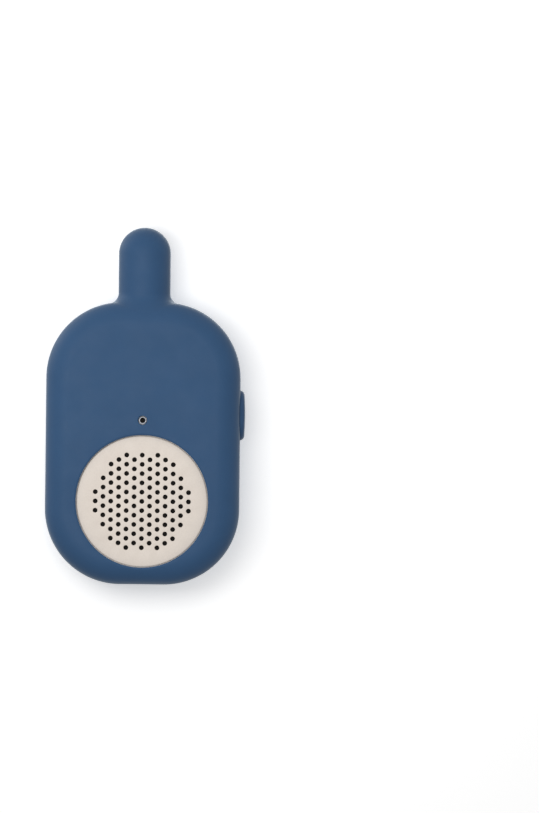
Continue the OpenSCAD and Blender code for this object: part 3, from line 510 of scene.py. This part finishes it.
def speaker_cloth():
    """Black acoustic cloth: crossed threads 0.35 mm apart."""
    s = Shader("speaker_mesh", Specular_IOR_Level=0.2)
    warp, weft = s.wave(0.35, "X"), s.wave(0.35, "Z")
    woven = s.math("MULTIPLY", warp, weft)
    s.colour(s.ramp(woven, [(0.0, (0.003, 0.003, 0.003)), (0.5, (0.008, 0.007, 0.007)),
                            (1.0, (0.030, 0.026, 0.024))]))
    s.rough(s.noise(1, 3), 0.75, 0.9)
    s.bump(woven, 0.08, 0.8)
    return s


def foam():
    """Open-celled black foam."""
    s = moulded("foam_black", (0.020, 0.020, 0.022), (0.85, 0.95), 0.4, 0.06, 0.2)
    s.bump(s.cells(0.5), 0.08, 0.6)
    return s


def cone_paper():
    """Black paper pulp with short fibres."""
    s = Shader("cone_paper", Sheen_Weight=0.1)
    fibre = s.noise(0.5, 5, 0.75, (1, 1, 0.4), 1.5)
    s.colour(s.ramp(fibre, [(0.3, (0.012, 0.012, 0.012)), (0.6, (0.024, 0.023, 0.022)),
                            (0.8, (0.045, 0.043, 0.040))]))
    s.rough(fibre, 0.7, 0.9)
    s.bump(fibre, 0.03, 0.7)
    return s


def circuit_board():
    """Green solder mask over traces, with bare pads and a weave in the laminate."""
    s = Shader("circuit_board", Coat_Weight=0.35, Coat_Roughness=0.18)
    across = s.cells(4.6, "F1", 0.9)
    rings = s.math("FRACT", s.math("MULTIPLY", across, 5.0))
    trace = s.between(rings, 0.0, 1.0, 0.42, 0.50)
    edge = s.cells(4.6, "DISTANCE_TO_EDGE", 0.9)
    clear = s.between(edge, 1.0, 0.0, 0.03, 0.06)
    copper = s.math("MAXIMUM", trace, clear)
    mask = s.mix(copper, (0.010, 0.085, 0.034), (0.022, 0.150, 0.060))
    pad = s.between(across, 1.0, 0.0, 0.075, 0.095)
    weave = s.math("MULTIPLY", s.wave(0.5, "X"), s.wave(0.5, "Z"))
    tint = s.ramp(weave, [(0.0, (0.9, 0.9, 0.9)), (1.0, (1, 1, 1))])
    s.colour(s.mix(1.0, s.mix(pad, mask, (0.66, 0.60, 0.46)), tint, "MULTIPLY"))
    s.link(pad, s.surface.inputs["Metallic"])
    s.rough(s.noise(2, 3), 0.32, 0.48)
    s.bump(copper, 0.03, 0.7)
    return s


def cell_wrap():
    """Plain green shrink sleeve, with a gold band and a black stretch at both ends of the cell."""
    s = Shader("cell_wrap", Coat_Weight=0.4, Coat_Roughness=0.15)
    low_end, high_end = 0.032, 0.078
    black, gold = (0.020, 0.022, 0.024), (0.52, 0.36, 0.16)
    low_green, high_green = (0.030, 0.115, 0.085), (0.036, 0.135, 0.100)
    sleeve = s.ramp(s.between(s.axis("Z"), 0.0, 1.0, low_end, high_end), [
        (0.0, black), (0.16, black), (0.165, gold), (0.205, gold), (0.21, low_green),
        (0.80, high_green), (0.805, gold), (0.845, gold), (0.85, black)])
    clouds = s.noise(9, 4, 0.6)
    grey = s.ramp(clouds, [(0.3, (0.1, 0.1, 0.1)), (0.7, (0.5, 0.5, 0.5))])
    s.colour(s.mix(0.12, sleeve, grey, "SOFT_LIGHT"))
    s.rough(clouds, 0.26, 0.42)
    s.bump(s.noise(2.5, 3, 0.5, (1, 1, 0.3)), 0.03, 0.4)
    return s


def ferrite():
    """Dark sintered magnet."""
    s = moulded("ferrite", (0.05, 0.05, 0.055), (0.55, 0.75), 0.3, 0.03, 0.15, Metallic=0.3)
    s.bump(s.cells(0.8), 0.03, 0.4)
    return s


def copper_wire():
    """Enamelled winding wire, with turns 0.32 mm apart."""
    s = Shader("copper", Metallic=1.0, Coat_Weight=0.6, Coat_Roughness=0.12)
    turns = s.wave(0.32, "Z")
    s.colour(s.ramp(s.noise(2, 3), [(0.3, (0.42, 0.15, 0.065)), (0.5, (0.52, 0.20, 0.09)),
                                    (0.7, (0.60, 0.25, 0.11))]))
    s.rough(s.noise(1, 3), 0.25, 0.4)
    s.bump(turns, 0.03, 0.4)
    return s


def terminal_board():
    """Brown phenolic board with a paper fibre."""
    s = Shader("terminal_board")
    fibre = s.noise(0.8, 5, 0.7, (0.3, 1, 1), 0.8)
    s.colour(s.ramp(fibre, [(0.3, (0.14, 0.055, 0.020)), (0.55, (0.22, 0.095, 0.035)),
                            (0.75, (0.30, 0.14, 0.055))]))
    s.rough(fibre, 0.4, 0.6)
    s.bump(fibre, 0.02, 0.5)
    return s


def ceramic_parts():
    """Small ceramic bodies with tinned ends, at even steps along the row."""
    s = Shader("ceramic_parts")
    row_start, row_step = -0.0148, 0.0036
    steps = s.math("MULTIPLY", s.math("ADD", s.axis("X"), -row_start), 1 / row_step)
    along = s.math("FRACT", steps)
    middle = s.math("ABSOLUTE", s.math("SUBTRACT", along, 0.5))
    tinned = s.between(middle, 0.0, 1.0, 0.13, 0.15)
    body = s.ramp(s.noise(2.2, 3), [(0.35, (0.22, 0.13, 0.07)), (0.5, (0.34, 0.22, 0.12)),
                                    (0.65, (0.05, 0.05, 0.055))])
    s.colour(s.mix(tinned, body, (0.62, 0.62, 0.60)))
    s.link(tinned, s.surface.inputs["Metallic"])
    s.rough(s.noise(1, 3), 0.3, 0.5)
    s.bump(s.noise(0.3, 3), 0.02, 0.5)
    return s


# these take the place of the plain materials that come with the frame
for plain_material in list(bpy.data.materials):
    bpy.data.materials.remove(plain_material)
shaders = [
    silicone("silicone_blue", (0.030, 0.087, 0.190)),
    silicone("silicone_key", (0.029, 0.082, 0.180)),
    moulded("casing_cream", (0.66, 0.585, 0.515), (0.48, 0.62), 0.16, 0.010, 0.03),
    moulded("grille_cream", (0.815, 0.73, 0.65), (0.42, 0.55), 0.14, 0.008, 0.025),
    moulded("bezel_white", (0.52, 0.54, 0.58), (0.22, 0.34), 0.3, 0.003, 0.03, Coat_Weight=0.3),
    speaker_cloth(),
    foam(),
    moulded("rubber_black", (0.015, 0.015, 0.016), (0.5, 0.68), 0.2, 0.01, 0.15),
    cone_paper(),
    ferrite(),
    metal("plated_steel", (0.56, 0.57, 0.59), (0.22, 0.36), (1, 1, 0.2)),
    metal("screw_steel", (0.50, 0.51, 0.53), (0.26, 0.42)),
    metal("aluminium_can", (0.70, 0.71, 0.73), (0.30, 0.45), (1, 0.15, 1)),
    copper_wire(),
    metal("contact_brass", (0.72, 0.50, 0.22), (0.25, 0.40)),
    moulded("plastic_black", (0.020, 0.020, 0.022), (0.38, 0.55), 0.2, 0.010, 0.15),
    moulded("chip_black", (0.018, 0.018, 0.020), (0.55, 0.70), 0.1, 0.008, 0.15),
    terminal_board(),
    circuit_board(),
    moulded("capacitor_sleeve", (0.020, 0.032, 0.090), (0.28, 0.4), 0.5, 0.006, 0.12,
            Coat_Weight=0.3),
    ceramic_parts(),
    moulded("former_white", (0.76, 0.75, 0.71), (0.4, 0.55), 0.2, 0.008, 0.03),
    cell_wrap(),
    moulded("lead_red", (0.42, 0.022, 0.018), (0.35, 0.5), 0.4, 0.010, 0.1),
    moulded("lead_black", (0.018, 0.018, 0.020), (0.38, 0.52), 0.4, 0.010, 0.15),
]
materials = {s.material.name: s.material for s in shaders}

# every CAD node takes the material of its slot
for row in frame["record"]["subparts"]:
    piece = nodes[row["node"]]
    piece.data.materials.clear()
    piece.data.materials.append(materials[row["material_slot"]])

# ---------- silicone cover ----------
cover = solid("cover", cover_distance, (-HALF_W, -HALF_D, 0), (HALF_W, HALF_D, TOTAL_H),
              step=0.85, fine=[(cover_lips, 1.1)], crease=(cover_outside, cover_inside))
stand_in_for(cover, "handset", "silicone_blue", "silicone_cover")


# ---------- talk key and power key ----------
def talk_key_distance(p):
    """A bowed key with a pocket in its back for the plunger."""
    y, z = p[:, 1], p[:, 2] - TALK_Z
    bow = p[:, 0] - TALK_FRONT_X + (z ** 2 / TALK_L + y ** 2 / TALK_W) / (2 * KEY_BOW)
    shape = common(talk_prism(p, 0), bow, TALK_ROUND)
    sides = np.maximum(np.abs(y) - POCKET_HALF_W, np.abs(z) - POCKET_HALF_L)
    pocket = np.maximum(sides, p[:, 0] - TALK_BACK_X - POCKET_DEPTH)
    return np.maximum(np.maximum(shape, TALK_BACK_X - p[:, 0]), -pocket)


talk_key = solid("talk_button", talk_key_distance, (TALK_BACK_X, -TALK_W / 2, TALK_Z - TALK_L / 2),
                 (TALK_FRONT_X, TALK_W / 2, TALK_Z + TALK_L / 2), step=0.3)
stand_in_for(talk_key, "talk", "silicone_key", "talk_key")


def power_key_distance(p):
    plate = np.maximum(POWER_LOW_Z - p[:, 2], p[:, 2] - POWER_HIGH_Z)
    return common(power_prism(p, 0), plate, POWER_ROUND)


power_key = solid("power_button", power_key_distance,
                  (POWER_X - POWER_L / 2, -POWER_W / 2, POWER_LOW_Z),
                  (POWER_X + POWER_L / 2, POWER_W / 2, POWER_HIGH_Z), step=0.25)
stand_in_for(power_key, "power", "silicone_key", "power_key")


# ---------- battery door and its screw ----------
def box_distance(p, low, high):
    q = np.maximum(np.array(low) - p, p - np.array(high))
    return np.minimum(q.max(1), 0) + np.linalg.norm(np.maximum(q, 0), axis=1)


def grip_groove(p, number):
    """A finger groove across the door: a round bar with ball ends, shorter on each lower one."""
    x = np.maximum(np.abs(p[:, 0]) - (GRIP_HALF_L - number), 0)
    z = p[:, 2] - GRIP_TOP_Z + number * GRIP_STEP
    return np.sqrt(x ** 2 + (p[:, 1] - GRIP_Y) ** 2 + z ** 2) - GRIP_R


def door_prism(p):
    return rect_distance(p[:, 0], p[:, 2] - DOOR_LOW_Z - DOOR_H / 2, DOOR_HALF_W, DOOR_H / 2, DOOR_R)


def screw_radius(p):
    """Distance to the screw's axis."""
    return np.hypot(p[:, 0], p[:, 2] - SCREW_Z)


def screw_recess(p):
    return np.maximum(screw_radius(p) - RECESS_R, DOOR_OUT_Y - RECESS_DEPTH - p[:, 1])


def door_distance(p):
    slab = np.maximum(DOOR_IN_Y - p[:, 1], p[:, 1] - DOOR_OUT_Y)
    d = common(door_prism(p), slab, DOOR_ROUND)
    root = DOOR_LOW_Z + TAB_ROOT
    for x in (-TAB_X, TAB_X):
        tongue = box_distance(p, (x - TAB_HALF_W, TAB_Y, DOOR_LOW_Z - TAB_L),
                              (x + TAB_HALF_W, TAB_Y + TAB_T, root))
        web = box_distance(p, (x - TAB_HALF_W, TAB_Y, DOOR_LOW_Z),
                           (x + TAB_HALF_W, DOOR_IN_Y + DOOR_ROUND, root))
        d = joined(d, np.minimum(tongue, web), TAB_FILLET)
    d = common(d, -screw_recess(p), RECESS_LIP)
    d = np.maximum(d, SCREW_HOLE_R - screw_radius(p))
    for number in range(GRIP_GROOVES):
        d = common(d, -grip_groove(p, number), GRIP_LIP)
    return d


def door_details(p):
    """Distance to the door's edges, grooves and recess."""
    grooves = [np.abs(grip_groove(p, number)) for number in range(GRIP_GROOVES)]
    return np.min(grooves + [np.abs(door_prism(p)), np.abs(screw_recess(p))], axis=0)


door = solid("door_panel", door_distance, (-DOOR_HALF_W, TAB_Y, DOOR_LOW_Z - TAB_L),
             (DOOR_HALF_W, DOOR_OUT_Y, DOOR_LOW_Z + DOOR_H),
             step=0.5, fine=[(door_details, 0.6)])
stand_in_for(door, "door", "casing_cream", "battery_door")


def door_screw_distance(p):
    """A domed head with a cross slot, and a threaded shank."""
    x, y, z = p[:, 0], p[:, 1], p[:, 2] - SCREW_Z
    radius = screw_radius(p)
    seat = DOOR_OUT_Y - RECESS_DEPTH + SEAT_GAP
    top = seat + HEAD_T
    dome = y - top + HEAD_DOME * (radius / HEAD_R) ** 2
    head = common(radius - HEAD_R, np.maximum(seat - y, dome), HEAD_ROUND)
    turns = y / THREAD_PITCH - np.arctan2(z, x) / (2 * math.pi)
    groove = THREAD_DEPTH * np.abs(2 * (turns % 1) - 1)
    # the thread's slopes make the radius change too fast for a distance, so it is scaled down
    thread = 0.7 * (radius - THREAD_R + groove)
    shank = np.maximum(thread, np.maximum(TIP_Y - y, y - seat - 0.1))
    floor_y = top - SLOT_DEPTH
    half_w = SLOT_HALF_W + SLOT_TAPER * (y - floor_y)
    arms = np.minimum(np.maximum(np.abs(x) - half_w, np.abs(z) - SLOT_HALF_L),
                      np.maximum(np.abs(z) - half_w, np.abs(x) - SLOT_HALF_L))
    cross = np.maximum(arms, floor_y - y)
    return np.minimum(common(head, -cross, SLOT_LIP), shank)


door_screw = solid("door_screw_head", door_screw_distance, (-HEAD_R, TIP_Y, SCREW_Z - HEAD_R),
                   (HEAD_R, DOOR_OUT_Y, SCREW_Z + HEAD_R), step=0.13)
stand_in_for(door_screw, "door_screw", "screw_steel", "battery_door_screw")


# ---------- turned and drilled pieces ----------
def ring(bm, x, z, radius, y, count):
    """Vertices round an axis along Y."""
    step = 2 * math.pi / count
    return [bm.verts.new((x + radius * math.cos(k * step), y, z + radius * math.sin(k * step)))
            for k in range(count)]


def skin(bm, rings):
    """Quads between each ring and the next."""
    for a, b in zip(rings, rings[1:]):
        for k in range(len(a)):
            n = (k + 1) % len(a)
            bm.faces.new((a[k], a[n], b[n], b[k]))


def arc_profile(radius, y, r, start, end, count):
    """(radius, y) points along an arc."""
    return [(radius + r * math.cos(math.radians(start + (end - start) * k / count)),
             y + r * math.sin(math.radians(start + (end - start) * k / count)))
            for k in range(count + 1)]


def perforated_face(bm, outer, holes, flip):
    """Flat face between an outer ring and the rings of its holes."""
    verts, owner, edges = [], [], []
    for number, loop in enumerate([outer] + holes):
        start, n = len(verts), len(loop)
        verts += loop
        owner += [number] * n
        edges += [(start + k, start + (k + 1) % n) for k in range(n)]
    flat = [Vector((v.co.x, v.co.z)) for v in verts]
    for face in delaunay_2d_cdt(flat, edges, [], 0, 1e-6)[2]:
        numbers = {owner[i] for i in face}
        if numbers == {0} or len(numbers) > 1:
            corners = [verts[i] for i in face]
            bm.faces.new(corners[::-1] if flip else corners)


def finished(bm, name):
    """Object from a bmesh drawn in millimetres, smooth but for its edges over 35 degrees."""
    bmesh.ops.recalc_face_normals(bm, faces=bm.faces)
    bmesh.ops.scale(bm, vec=(MM, MM, MM), verts=bm.verts)
    mesh = bpy.data.meshes.new(name)
    bm.to_mesh(mesh)
    bm.free()
    mesh.polygons.foreach_set("use_smooth", [True] * len(mesh.polygons))
    mesh.set_sharp_from_angle(angle=math.radians(35))
    piece = bpy.data.objects.new(name, mesh)
    bpy.context.scene.collection.objects.link(piece)
    return piece


def sound_hole_places():
    """Staggered columns of holes, kept to a round field."""
    columns, rows = math.ceil(FIELD_R / COLUMN_STEP), math.ceil(FIELD_R / HOLE_STEP)
    for c in range(-columns, columns + 1):
        for k in range(-rows, rows + 1):
            x = c * COLUMN_STEP
            z = (k + (0.5 if c % 2 else 0.0)) * HOLE_STEP
            if math.hypot(x, z) <= FIELD_R:
                yield x, z + SPEAKER_Z


def grille_plate():
    """Drilled plate with a rounded rim, a thin ledge round it and a skirt behind."""
    bm = bmesh.new()
    skirt_y, skirt_in = GRILLE_BACK_Y + SKIRT_L, SKIRT_R - SKIRT_T
    rim = arc_profile(GRILLE_R - GRILLE_ROUND, GRILLE_Y + GRILLE_ROUND, GRILLE_ROUND, -90, 0, 10)
    rim += [(GRILLE_R, LEDGE_Y), (LEDGE_R, LEDGE_Y), (LEDGE_R, LEDGE_Y + LEDGE_T),
            (GRILLE_R, LEDGE_Y + LEDGE_T), (GRILLE_R, GRILLE_BACK_Y), (SKIRT_R, GRILLE_BACK_Y),
            (SKIRT_R, skirt_y), (skirt_in, skirt_y), (skirt_in, GRILLE_BACK_Y)]
    rings = [ring(bm, 0, SPEAKER_Z, r, y, RIM_SIDES) for r, y in rim]
    skin(bm, rings)
    # the wall of a hole, from its rounded lip to the back of the plate
    wall = arc_profile(SOUND_HOLE_R + SOUND_HOLE_ROUND, GRILLE_Y + SOUND_HOLE_ROUND,
                       SOUND_HOLE_ROUND, -90, -180, 4) + [(SOUND_HOLE_R, GRILLE_BACK_Y)]
    front_loops, back_loops = [], []
    for x, z in sound_hole_places():
        hole = [ring(bm, x, z, r, y, HOLE_SIDES) for r, y in wall]
        skin(bm, hole)
        front_loops.append(hole[0])
        back_loops.append(hole[-1])
    perforated_face(bm, rings[0], front_loops, False)
    perforated_face(bm, rings[-1], back_loops, True)
    return finished(bm, "grille")


stand_in_for(grille_plate(), "handset", "grille_cream", "speaker_grille")


def mic_ring():
    """Pale bezel with a rounded rim, a port, and a seat and flange behind it."""
    bm = bmesh.new()
    r = (BEZEL_R - PORT_R) / 2
    rim = arc_profile(PORT_R + r, BEZEL_FRONT_Y + r, r, 0, -180, 12)
    profile = [(BEZEL_R, BEZEL_BACK_Y)] + rim + [
        (PORT_R, MIC_CLOTH_Y), (MIC_CLOTH_R, MIC_CLOTH_Y), (MIC_CLOTH_R, FLANGE_BACK_Y),
        (FLANGE_R, FLANGE_BACK_Y), (FLANGE_R, BEZEL_BACK_Y)]
    rings = [ring(bm, 0, MIC_Z, r, y, BEZEL_SIDES) for r, y in profile]
    skin(bm, rings + rings[:1])
    return finished(bm, "mic_ring")


stand_in_for(mic_ring(), "handset", "bezel_white", "mic_bezel")


# ---------- stage and light, in metres ----------
def stage_shader(name, glow):
    """Matte white with a glow of its own."""
    shader = Shader(name, Roughness=0.9, Emission_Strength=glow)
    shader.surface.inputs["Emission Color"].default_value = (1, 1, 1, 1)
    shader.colour(shader.ramp(shader.noise(400, 2), [(0.3, (0.93, 0.93, 0.93)),
                                                     (0.7, (0.95, 0.95, 0.95))]))
    return shader


def plane(name, corners, shader):
    """Stage plane that only the camera sees: it neither lights nor shades the handset."""
    mesh = bpy.data.meshes.new(name)
    mesh.from_pydata(corners, [], [(0, 1, 2, 3)])
    mesh.materials.append(shader.material)
    piece = bpy.data.objects.new(name, mesh)
    bpy.context.scene.collection.objects.link(piece)
    for ray in ("diffuse", "glossy", "transmission", "shadow", "volume_scatter"):
        setattr(piece, "visible_" + ray, False)
    return piece


FLOOR_HALF = 1.6
floor = plane("floor", [(-FLOOR_HALF, -FLOOR_HALF, 0), (FLOOR_HALF, -FLOOR_HALF, 0),
                        (FLOOR_HALF, FLOOR_HALF, 0), (-FLOOR_HALF, FLOOR_HALF, 0)],
              stage_shader("floor", 0.62))

# a plain backdrop right behind the handset catches its soft shadow, and is clear from behind
backdrop_shader = stage_shader("backdrop", 0.40)
clear = backdrop_shader.node("ShaderNodeBsdfTransparent")
sides = backdrop_shader.node("ShaderNodeMixShader")
back_facing = backdrop_shader.node("ShaderNodeNewGeometry").outputs["Backfacing"]
for source, socket in ((back_facing, sides.inputs[0]),
                       (backdrop_shader.surface.outputs[0], sides.inputs[1]),
                       (clear.outputs[0], sides.inputs[2]),
                       (sides.outputs[0], backdrop_shader.output.inputs[0])):
    backdrop_shader.link(source, socket)
BACKDROP_Y = 0.0155
BACKDROP_LEFT, BACKDROP_RIGHT, BACKDROP_LOW, BACKDROP_HIGH = -0.12, 0.17, -0.10, 0.24
backdrop = plane("backdrop", [(BACKDROP_LEFT, BACKDROP_Y, BACKDROP_LOW),
                              (BACKDROP_RIGHT, BACKDROP_Y, BACKDROP_LOW),
                              (BACKDROP_RIGHT, BACKDROP_Y, BACKDROP_HIGH),
                              (BACKDROP_LEFT, BACKDROP_Y, BACKDROP_HIGH)], backdrop_shader)


def studio_world(from_below, from_above, seen):
    """White surroundings, brighter from above; the camera sees them at a level of its own."""
    world = bpy.data.worlds.new("studio")
    bpy.context.scene.world = world
    world.use_nodes = True
    world_nodes, links = world.node_tree.nodes, world.node_tree.links
    background = world_nodes["Background"]
    background.inputs["Color"].default_value = (1, 1, 1, 1)
    heading = world_nodes.new("ShaderNodeTexCoord")
    axes = world_nodes.new("ShaderNodeSeparateXYZ")
    rays = world_nodes.new("ShaderNodeLightPath")
    height = world_nodes.new("ShaderNodeMapRange")
    for name, value in (("From Min", -1), ("From Max", 1), ("To Min", from_below),
                        ("To Max", from_above)):
        height.inputs[name].default_value = value
    level = world_nodes.new("ShaderNodeMapRange")
    level.inputs["To Max"].default_value = seen
    links.new(heading.outputs["Generated"], axes.inputs[0])
    links.new(axes.outputs["Z"], height.inputs["Value"])
    links.new(height.outputs[0], level.inputs["To Min"])
    links.new(rays.outputs["Is Camera Ray"], level.inputs["Value"])
    links.new(level.outputs[0], background.inputs["Strength"])


def area_light(name, place, target, size, watts, spread=180):
    data = bpy.data.lights.new(name, "AREA")
    data.shape = "RECTANGLE"
    data.size, data.size_y = size
    data.energy = watts
    data.spread = math.radians(spread)
    lamp = bpy.data.objects.new(name, data)
    bpy.context.scene.collection.objects.link(lamp)
    lamp.location = place
    aim = Vector(target) - Vector(place)
    lamp.rotation_euler = aim.to_track_quat("-Z", "Y").to_euler()


studio_world(from_below=0.34, from_above=0.64, seen=1.02)
# a near light in front, from the left, which falls off towards the base
area_light("key", (-0.085, -0.36, 0.098), (0, 0, 0.12), (0.23, 0.15), watts=0.245, spread=110)
# two lights behind the backdrop, which lets them through: they brighten the left and top rims
BODY_MIDDLE = (0, 0, 0.067)
area_light("rim", (-0.38, 0.17, 0.33), BODY_MIDDLE, (0.30, 0.30), watts=0.50)
area_light("back", (0.08, 0.55, 0.24), BODY_MIDDLE, (0.30, 0.30), watts=1.1)
bpy.context.scene.view_settings.view_transform = "Standard"
